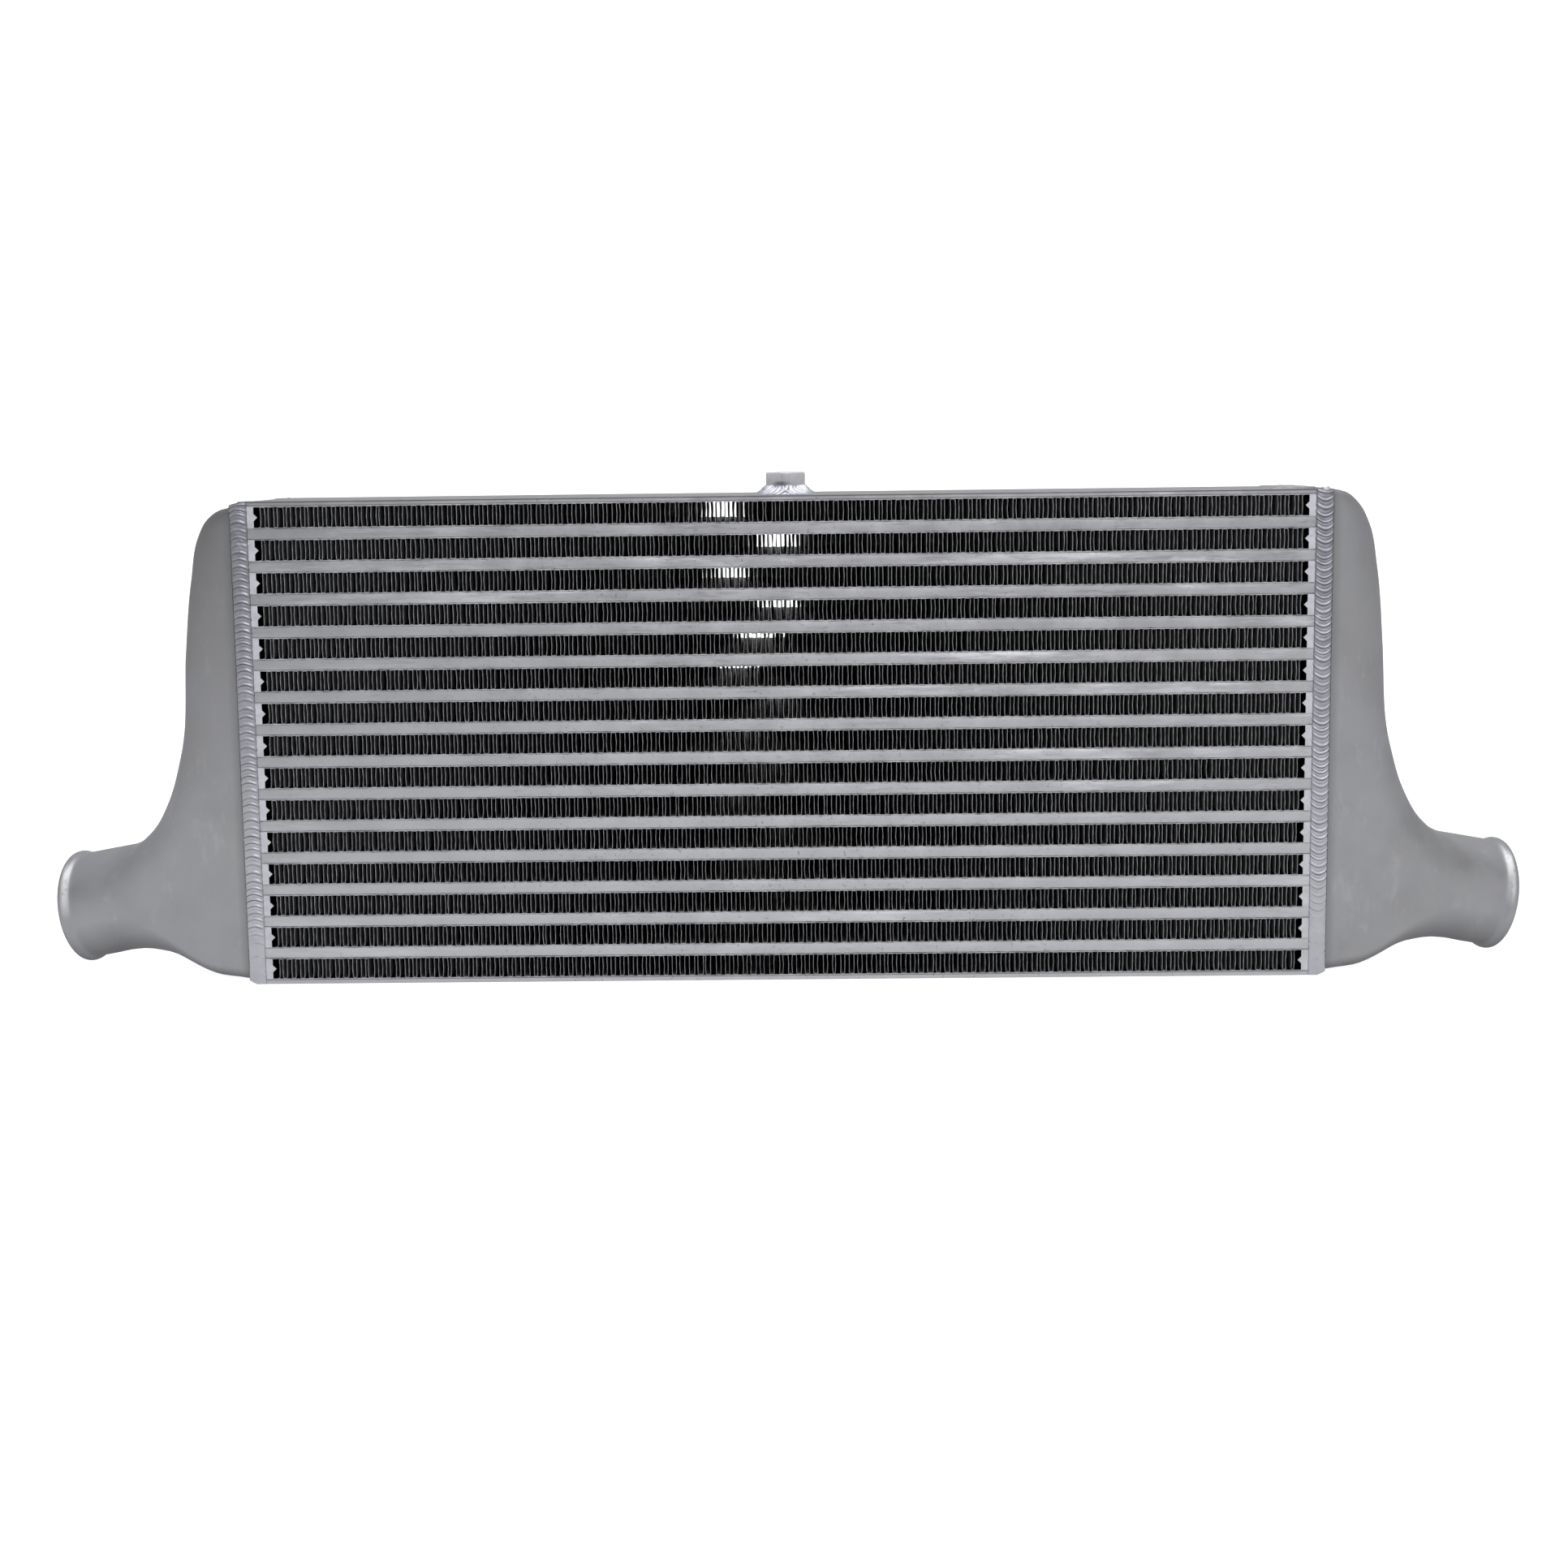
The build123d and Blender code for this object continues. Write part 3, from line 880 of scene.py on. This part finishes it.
# Down from the top, in millimetres: drop, reach from the mouth, inset of the sides, corner
UPRIGHT_STATIONS = (
    (0.2, 7.5, 7.0, 5.0),
    (2.1, 15.6, 3.2, 9.0),
    (8.8, 24.0, 1.0, 14.0),
    (20.8, 31.6, 0.5, 19.0),
    (45.8, 37.0, 0.1, 21.0),
    (90.0, 41.4, 0.1, 22.0),
    (134.0, 44.0, 0.1, 22.0),
)
# Round the elbow: outer point, inner point, inset of the sides, outer corner, inner corner
ELBOW_STATIONS = (
    ((48.9, 128.0), (-40.6, 100.0), 0.1, 22.0, 16.0),
    ((55.4, 108.0), (-30.6, 45.0), 0.1, 22.0, 12.0),
    ((64.2, 91.7), (-12.6, 5.6), 0.3, 22.0, 11.0),
    ((74.4, 81.8), (22.4, 1.4), 1.5, 23.0, 14.0),
    ((84.4, 75.9), (55.4, 11.6), 4.0, 27.0, 24.0),
)
# Along the nozzle from the bead: distance, radius over or under the nozzle's own
NOZZLE_STATIONS = (
    (-28.0, 0.0), (-14.0, 0.0), (-7.5, 0.0), (-4.9, 0.1), (-3.8, 0.7), (-2.4, 1.55),
    (-0.6, 1.88), (0.9, 1.55), (1.9, 0.5), (2.3, -0.9),
)


def rounded_station(outer, inner, half_width, outer_corner, inner_corner):
    """Ring of points round a rounded rectangle between an outer and an inner point."""
    middle = (outer + inner) / 2
    along = (outer - inner).normalized()
    half = (outer - inner).length / 2
    corners = ((1, 1, outer_corner), (-1, 1, inner_corner), (-1, -1, inner_corner),
               (1, -1, outer_corner))

    def on_corner(index, share):
        """Point at a share of the quarter turn round one corner."""
        out, side, radius = corners[index % 4]
        angle = (index + share) * pi / 2
        a = out * (half - radius) + radius * cos(angle)
        b = side * (half_width - radius) + radius * sin(angle)
        return middle + along * a + Vector((0, b, 0))

    ring = []
    for index in range(4):
        ring += [on_corner(index, step / CORNER_STEPS) for step in range(CORNER_STEPS + 1)]
        there = on_corner(index + 1, 0)
        ring += [ring[-1].lerp(there, step / CORNER_STEPS) for step in range(1, CORNER_STEPS)]
    return ring


def nozzle_station(distance, radius):
    """Ring of points round the nozzle, in step with the rounded rectangles."""
    axis = Vector((cos(NOZZLE_DROOP), 0, -sin(NOZZLE_DROOP)))
    upward = Vector((-axis.z, 0, axis.x))
    centre = Vector((HALF_LENGTH + NOZZLE_REACH, 0, NOZZLE_HEIGHT)) + axis * distance
    count = 8 * CORNER_STEPS
    turns = [2 * pi * step / count + pi / 8 for step in range(count)]
    return [centre + upward * (radius * cos(t)) + Vector((0, radius * sin(t), 0)) for t in turns]


def tank_stations():
    """Every ring of the casting, from the top of the tank to the lip of the nozzle."""
    rings = []
    for drop, reach, inset, corner in UPRIGHT_STATIONS:
        ends = [Vector((HALF_LENGTH + x * MM, 0, TOP - drop * MM)) for x in (reach, -reach)]
        rings.append(rounded_station(*ends, HALF_DEPTH - inset * MM, corner * MM, corner * MM))
    for outer, inner, inset, *corners in ELBOW_STATIONS:
        ends = [Vector((HALF_LENGTH + x * MM, 0, z * MM)) for x, z in (outer, inner)]
        radii = [corner * MM for corner in corners]
        rings.append(rounded_station(*ends, HALF_DEPTH - inset * MM, *radii))
    for distance, rise in NOZZLE_STATIONS:
        rings.append(nozzle_station(distance * MM, NOZZLE_RADIUS + rise * MM))
    return rings


print("stations:", len(tank_stations()), "of", len(tank_stations()[0]), "points")


# %% A smooth curve through the stations
def slopes(points, marks):
    """Slope of a smooth curve at each of its points, by the runs on both sides."""
    runs = [(b - a) / (n - m) for a, b, m, n in zip(points, points[1:], marks, marks[1:])]
    inner = []
    for i in range(1, len(points) - 1):
        before, after = marks[i] - marks[i - 1], marks[i + 1] - marks[i]
        inner.append((runs[i - 1] * after + runs[i] * before) / (before + after))
    return [runs[0], *inner, runs[-1]]


def hermite(points, rates, marks, span, share):
    """Point of the curve in one span, at a share of it."""
    length = marks[span + 1] - marks[span]
    s2, s3 = share ** 2, share ** 3
    return (
        points[span] * (2 * s3 - 3 * s2 + 1)
        + rates[span] * ((s3 - 2 * s2 + share) * length)
        + points[span + 1] * (3 * s2 - 2 * s3)
        + rates[span + 1] * ((s3 - s2) * length)
    )


ROW_SPACING = 3.0 * MM


def skin_rows(rings):
    """Rings close enough together to be seen as smooth, on curves through the stations."""
    marks = [0.0]
    for before, after in zip(rings, rings[1:]):
        steps = [(b - a).length for a, b in zip(before, after)]
        marks.append(marks[-1] + sum(steps) / len(steps))
    lines = [[ring[i] for ring in rings] for i in range(len(rings[0]))]
    rates = [slopes(line, marks) for line in lines]
    rows = []
    for span in range(len(rings) - 1):
        count = max(2, round((marks[span + 1] - marks[span]) / ROW_SPACING))
        for step in range(count):
            share = step / count
            rows.append([hermite(l, r, marks, span, share) for l, r in zip(lines, rates)])
    rows.append(rings[-1])
    return rows


# %% Lay the skin and give it a wall
def cast_tank():
    """The right-hand casting, hollow, open at its mouth and at the nozzle."""
    rows = skin_rows(tank_stations())
    around = len(rows[0])

    def place(u, v):
        return rows[round(v * (len(rows) - 1))][round(u * around) % around]

    tank = laid_grid("cast_tank_right", around, len(rows) - 1, place, closed=True)
    top_row = TOP - (UPRIGHT_STATIONS[0][0] + 0.01) * MM
    select_edges(tank, lambda a, b: min(a.z, b.z) > top_row)
    bpy.ops.mesh.edge_face_add()
    bpy.ops.mesh.select_all(action="SELECT")
    bpy.ops.mesh.bisect(
        plane_co=(HALF_LENGTH, 0, 0), plane_no=(-1, 0, 0), clear_outer=True, use_fill=False
    )
    solidify(orient(tank), thickness=TANK_WALL, offset=-1, use_even_offset=True)
    return smooth(tank, 35)


# %% Where the two castings differ from their stations
SHOULDER_SINK = 1.7 * MM
SHOULDER_PULL = 1.4 * MM
MOUTH_SINK = 2.2 * MM
MOUTH_REACH = 15 * MM
UNDERSIDE = 40 * MM
UNDERSIDE_FADE = 25 * MM
LOWEST = 0.6 * MM


def fraction(value):
    """A value kept between 0 and 1."""
    return max(0.0, min(1.0, value))


def mirrored_copy(piece, name):
    """The same piece at the other end of the core, with its own mesh."""
    copy = piece.copy()
    copy.data = piece.data.copy()
    copy.name = copy.data.name = name
    bpy.context.scene.collection.objects.link(copy)
    for vertex in copy.data.vertices:
        vertex.co.x = -vertex.co.x
    return orient(copy, merge=True)


def sink_shoulder(tank):
    """Lower a casting's shoulder and draw it in, less and less on the way down."""
    for vertex in tank.data.vertices:
        down = (TOP - vertex.co.z) / MM
        out = (abs(vertex.co.x) - HALF_LENGTH) / MM
        rounder = 1 + 0.8 * sin(pi * fraction(out / 26))
        vertex.co.z -= SHOULDER_SINK * rounder * max(0.0, 1 - down / 45) ** 2
        inward = SHOULDER_PULL * fraction(out / 10) * fraction((95 - down) / 50)
        vertex.co.x -= copysign(inward, vertex.co.x)
    return smooth(tank, 35)


def sink_mouth(tank):
    """Bring a casting's underside down to the core's own, close to the mouth only."""
    for vertex in tank.data.vertices:
        near_mouth = fraction(1 - (abs(vertex.co.x) - HALF_LENGTH) / MOUTH_REACH) ** 1.3
        low_down = fraction((UNDERSIDE - vertex.co.z) / UNDERSIDE_FADE)
        sunk = vertex.co.z - MOUTH_SINK * near_mouth * low_down
        vertex.co.z = max(min(vertex.co.z, LOWEST), sunk)
    return tank


right_tank = sink_mouth(cast_tank())
left_tank = sink_shoulder(mirrored_copy(right_tank, "cast_tank_left"))
finish(right_tank, CAST_METAL, "cast_tank", "right_end_tank")
finish(left_tank, CAST_METAL, "cast_tank", "left_end_tank")


# %% [markdown]
# ## Weld beads
# A TIG weld is a row of frozen puddles, each lapping over the one before, like a fallen stack
# of coins. Every run is a grid laid over a low round bead: its rows bow as the puddles do,
# a ridge crosses the middle of each puddle and a smaller one its edge. The sizes of the
# puddles wander, and where the torch stopped they run into one another.

# %% One run of weld
RIPPLE_STEPS = 9
RIPPLE_DEPTH = 0.62 * MM
RIDGE_SHARE = 0.22
SMALL_RIDGE = 0.3
SMALL_SHARE = 0.14
BEAD_COLUMNS = 16
BEAD_ROOT = 0.5 * MM
LUMP_SIZE = 2.6 * MM
LUMP_HEIGHT = 0.09 * MM
ROUGH_REACH = 9 * MM
EDGE_WANDER = 0.3 * MM
PUDDLE_LENGTHS = (0.75, 1.25)
PUDDLE_SWELLS = (0.86, 1.0)
PUDDLE_DEPTHS = (0.6, 1.0)
PUDDLE_SLIPS = (-0.4, 0.4)


def ripple_marks(length, pitch, dice):
    """Where each puddle of a run ends, as distances from the start."""
    marks = [0.0]
    while marks[-1] < length:
        marks.append(marks[-1] + pitch * dice.uniform(*PUDDLE_LENGTHS))
    scale = length / marks[-1]
    return [mark * scale for mark in marks]


def weld_run(start, along, out, length, rise, seed, pitch=4.2 * MM, bow=2.2 * MM,
             half_width=WELD_HALF_WIDTH, calm=0.0, rough=None):
    """A bead from a start point, standing out from its joint, over a length.

    Its ripples bow forward by `bow`, backward if negative. They fade in from the start up to
    `calm`, and round the distance `rough` the puddles run into one another. The rim is
    extruded a little into the joint, which closes the bead behind.
    """
    dice = random.Random(seed)
    marks = ripple_marks(length, pitch, dice)
    swells = [dice.uniform(*PUDDLE_SWELLS) for _ in marks]
    slips = [dice.uniform(*PUDDLE_SLIPS) * MM for _ in marks]
    depths = [dice.uniform(*PUDDLE_DEPTHS) for _ in marks]
    across = along.cross(out).normalized()
    rows = (len(marks) - 1) * RIPPLE_STEPS

    def place(u, v):
        row = min(round(v * rows), rows)
        ripple = min(row // RIPPLE_STEPS, len(marks) - 2)
        share = (row - ripple * RIPPLE_STEPS) / RIPPLE_STEPS
        side = 2 * u - 1
        reach = marks[ripple] + (marks[ripple + 1] - marks[ripple]) * share
        crown = 1 - side ** 2
        ends = min(1.0, min(reach, length - reach) / (0.8 * half_width))
        bowed = reach + bow * (crown - 0.6) * ends
        ridge = max(0.0, 1 - abs(share - 0.5) / RIDGE_SHARE) ** 1.3
        ridge += SMALL_RIDGE * max(0.0, 1 - min(share, 1 - share) / SMALL_SHARE)
        calmed = min(1.0, (reach / calm) ** 2) if calm else 1.0
        swell = swells[ripple] * (1 - share) + swells[ripple + 1] * share
        relief = RIPPLE_DEPTH * depths[ripple] * ridge * min(1.0, 2.5 * crown) * calmed
        messy = 1 + 4 * max(0.0, 1 - abs(reach - rough) / ROUGH_REACH) if rough else 1
        spot = Vector((reach / LUMP_SIZE, side * 2.4, seed))
        lump = noise.noise(spot) * LUMP_HEIGHT * messy * crown
        height = max(0.0, rise * swell * crown ** 0.55 + relief + lump)
        edge = half_width * (0.97 + 0.04 * sin(pi * share) * calmed)
        edge += EDGE_WANDER * noise.noise(Vector((reach / (1.7 * MM), side, seed + 9)))
        sideways = side * edge + slips[ripple] * crown
        return start + along * bowed + across * sideways + out * height

    bead = laid_grid("weld_run", BEAD_COLUMNS, rows, place)
    select_edges(bead)
    bpy.ops.mesh.extrude_edges_move(TRANSFORM_OT_translate={"value": -out * BEAD_ROOT})
    bpy.ops.mesh.edge_face_add()
    return smooth(orient(bead, merge=True), 60)


DROP_ROUGHNESS = 0.10
DROP_LUMPS = 2.2 * MM


def blob(place, radii):
    """A drop of metal: a ball squashed to three radii."""
    deselect_all()
    bpy.ops.mesh.primitive_uv_sphere_add(segments=24, ring_count=14, radius=1, location=place)
    drop = new_piece("drop")
    drop.scale = radii
    bake_place(drop)
    for vertex in drop.data.vertices:
        push = 1 + DROP_ROUGHNESS * noise.noise(vertex.co / DROP_LUMPS)
        vertex.co = Vector(place) + (vertex.co - Vector(place)) * push
    return smooth(drop, 60)


# %% All runs round both joints
UP, ALONG_DEPTH = Vector((0, 0, 1)), Vector((0, 1, 0))
FACE_RISE = 1.3 * MM
BOTTOM_RISE = 1.0 * MM
CORNER_RADII = (5.0 * MM, 1.5 * MM)
CRATER_RADII = (2.8 * MM, 2.0 * MM, 2.0 * MM)


def tank_weld(name, side, pitch, bow, calm, top_rise, rough, crater):
    """Four runs round one joint, with a drop of metal at both top corners."""
    x = side * HALF_LENGTH
    runs = []
    for out, seed in ((-ALONG_DEPTH, 5), (ALONG_DEPTH, 6)):
        start = Vector((x, 0, 0.4 * MM)) + out * HALF_DEPTH
        runs.append(weld_run(start, UP, out, TOP + 0.3 * MM, FACE_RISE, seed + side,
                             pitch=pitch, bow=bow, calm=calm, rough=rough))
        corner = Vector((x, 0, TOP - 0.5 * MM)) + out * (HALF_DEPTH - 0.2 * MM)
        runs.append(blob(corner, (*CORNER_RADII, top_rise)))
    start = Vector((x, 0.2 * MM - HALF_DEPTH, TOP))
    depth = 2 * HALF_DEPTH - 0.4 * MM
    runs.append(weld_run(start, ALONG_DEPTH, UP, depth, top_rise - 0.2 * MM, 31 + side))
    start = Vector((x, 0.5 * MM - HALF_DEPTH, BOTTOM_RISE + 0.5 * MM))
    runs.append(weld_run(start, ALONG_DEPTH, -UP, depth - 0.6 * MM, BOTTOM_RISE, 47 + side,
                         half_width=0.9 * WELD_HALF_WIDTH))
    if crater:
        spot = Vector((x + 0.3 * MM, -HALF_DEPTH + 0.4 * MM, TOP + 0.3 * MM))
        runs.append(blob(spot, CRATER_RADII))
    return join(name, runs)


SLOPE_REACH = 7 * MM
FOOT_LIFT = 2.4 * MM


def slope_ends(weld, drop):
    """Slope a weld towards its tank: its top falls by `drop` and its foot rises a little."""
    for vertex in weld.data.vertices:
        outward = max(0.0, (abs(vertex.co.x) - HALF_LENGTH) / (2 * WELD_HALF_WIDTH) + 0.5)
        high = fraction((vertex.co.z - TOP) / SLOPE_REACH + 1)
        vertex.co.z -= drop * (0.15 + 0.85 * outward ** 1.3) * high
        at_face = fraction((abs(vertex.co.y) - HALF_DEPTH) / (8 * MM) + 1)
        low = max(0.0, 1 - vertex.co.z / SLOPE_REACH)
        vertex.co.z += FOOT_LIFT * max(0.0, 2 * outward - 1) * at_face * low


left_weld = tank_weld("left_weld_beads", side=-1, pitch=4.3 * MM, bow=2.2 * MM, calm=38 * MM,
                      top_rise=0.5 * MM, rough=262 * MM, crater=False)
right_weld = tank_weld("right_weld_beads", side=1, pitch=4.2 * MM, bow=-3.0 * MM, calm=62 * MM,
                       top_rise=0.9 * MM, rough=None, crater=True)
slope_ends(left_weld, drop=2.6 * MM)
slope_ends(right_weld, drop=0.9 * MM)
finish(left_weld, WELD_METAL, "weld", "left_tank_weld")
finish(right_weld, WELD_METAL, "weld", "right_tank_weld")


# %% [markdown]
# ## Boss, its weld and the pad
# The boss is square bar with its corners turned round and one corner to the front. One grid
# covers it: up the outside, over the softened edge, across the top and down the threaded
# hole. The weld round its foot is a hollow fillet whose ripples run up its slope. The pad
# is a cube with a ramp at one end and its upper edges bevelled.

# %% The boss
BOSS_FLATS = 20.4 * MM
BOSS_CORNER = boss_high.x - BOSS_X
BOSS_TALL = boss_high.z - TOP
BOSS_EDGE = 1.3 * MM
BOSS_COLUMNS = 128
THREAD_RADIUS = 4.6 * MM
THREAD_DEPTH = 0.45 * MM
THREAD_PITCH = 1.5 * MM
THREAD_ROWS = 54
HOLE_DEPTH = 10 * MM
DRILL_RADIUS = 3.9 * MM


def boss_radius(angle):
    """Outline of square bar with turned corners, one corner at each axis."""
    off_flat = angle % (pi / 2) - pi / 4
    return min(BOSS_FLATS / 2 / cos(off_flat), BOSS_CORNER)


def boss_stations():
    """Steps over the boss: inset from its outline, or a radius of its own, and the height."""
    steps = [(None, 0.0, 0.0), (0.0, None, 0.0), (0.0, None, 0.5 * BOSS_TALL)]
    for turn in range(0, 91, 18):
        inset = BOSS_EDGE * (1 - cos(radians(turn)))
        steps.append((inset, None, BOSS_TALL - BOSS_EDGE * (1 - sin(radians(turn)))))
    for radius, drop in ((7.4, 0.0), (5.4, 0.0), (5.2, 0.1), (THREAD_RADIUS / MM, 0.9)):
        steps.append((None, radius * MM, BOSS_TALL - drop * MM))
    run = HOLE_DEPTH - 1.2 * MM
    for row in range(THREAD_ROWS):
        steps.append(("thread", THREAD_RADIUS, BOSS_TALL - 1 * MM - run * row / THREAD_ROWS))
    floor_height = BOSS_TALL - HOLE_DEPTH
    return [*steps, (None, DRILL_RADIUS, floor_height), (None, 0.0, floor_height - 2 * MM)]


def threaded_boss():
    """The boss as one closed skin."""
    steps = boss_stations()

    def place(u, v):
        kind, radius, height = steps[round(v * (len(steps) - 1))]
        angle = 2 * pi * u
        if kind == "thread":
            radius += THREAD_DEPTH * (abs(((height / THREAD_PITCH + u) % 1) - 0.5) * 2 - 1)
        elif radius is None:
            radius = boss_radius(angle) - kind
        return Vector((BOSS_X + radius * sin(angle), -radius * cos(angle), TOP + height))

    boss = laid_grid("threaded_boss", BOSS_COLUMNS, len(steps) - 1, place, closed=True)
    return smooth(boss, 24)


finish(threaded_boss(), TURNED_METAL, "machined", "mounting_boss")


# %% The weld round its foot
foot_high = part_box("boss_weld")[1]
FOOT_RADIUS = foot_high.x - BOSS_X
FOOT_RISE = foot_high.z - TOP
FOOT_INNER = BOSS_FLATS / 2 - 1 * MM
FOOT_RIDGE = 0.85 * MM
FOOT_HOLLOW = 0.42 * MM
FOOT_WANDER = 0.3 * MM
FOOT_RIPPLES = 26
FOOT_COLUMNS = FOOT_RIPPLES * 10
FOOT_ROWS = 18


def foot_weld():
    """A ring of fillet weld: foot on the plate, throat against the boss, closed inside."""
    dice = random.Random(77)
    swells = [dice.uniform(0.5, 1.0) for _ in range(FOOT_RIPPLES)]
    leans = [dice.uniform(-0.25, 0.25) for _ in range(FOOT_RIPPLES)]

    def place(u, v):
        angle = 2 * pi * u
        if v > 0.999:
            radius, height = FOOT_INNER, 0.0
        elif v > 0.94:
            radius, height = FOOT_INNER, FOOT_RISE - 0.6 * MM
        else:
            climb = min(1.0, v / 0.89)
            turn = abs((u + 0.5) % 1 - 0.5)
            ripple = turn * FOOT_RIPPLES * (1 + 0.45 * climb) + 0.8 * sin(pi * climb)
            index = int(ripple) % FOOT_RIPPLES
            share = ripple - int(ripple)
            share += leans[index] * climb * share * (1 - share)
            ridge = max(0.0, 1 - abs(share - 0.5) / 0.26)
            throat = boss_radius(angle) - 0.4 * MM
            wander = FOOT_WANDER * noise.noise(Vector((3 * cos(angle), 3 * sin(angle), 4)))
            foot = FOOT_RADIUS - FOOT_WANDER + wander
            radius = foot + (throat - foot) * climb ** 0.95 - FOOT_HOLLOW * sin(pi * climb)
            height = FOOT_RISE * (0.86 + wander / MM * 0.22) * climb ** 1.12
            lift = FOOT_RIDGE * ridge * swells[index] * sin(pi * climb) ** 0.4
            radius += 0.6 * lift
            height += 0.8 * lift
        return Vector((BOSS_X + radius * sin(angle), -radius * cos(angle), TOP + height))

    ring = laid_grid("boss_weld_fillet", FOOT_COLUMNS, FOOT_ROWS, place, closed=True)
    select_edges(ring)
    bpy.ops.mesh.bridge_edge_loops()
    return smooth(orient(ring), 50)


finish(foot_weld(), FOOT_METAL, "weld", "boss_weld")


# %% The pad
PAD_SHORTER = 6 * MM
PAD_RAMP = 4.5 * MM
PAD_EDGE = 0.6 * MM


def soft_pad():
    """A low pad with soft edges and a ramp at its inner end."""
    low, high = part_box("corner_pad")
    low = Vector((low.x + PAD_SHORTER, low.y, low.z))
    middle = (low + high) / 2
    deselect_all()
    bpy.ops.mesh.primitive_cube_add(size=1, location=middle)
    pad = new_piece("soft_pad")
    pad.scale = high - low
    bake_place(pad)
    for vertex in pad.data.vertices:
        if vertex.co.z > middle.z and vertex.co.x < middle.x:
            vertex.co.x += PAD_RAMP
    select_edges(pad, lambda a, b: max(a.z, b.z) > middle.z)
    bpy.ops.mesh.bevel(offset=PAD_EDGE, segments=4)
    return smooth(pad, 40)


finish(soft_pad(), BAR_METAL, "weld", "corner_pad")
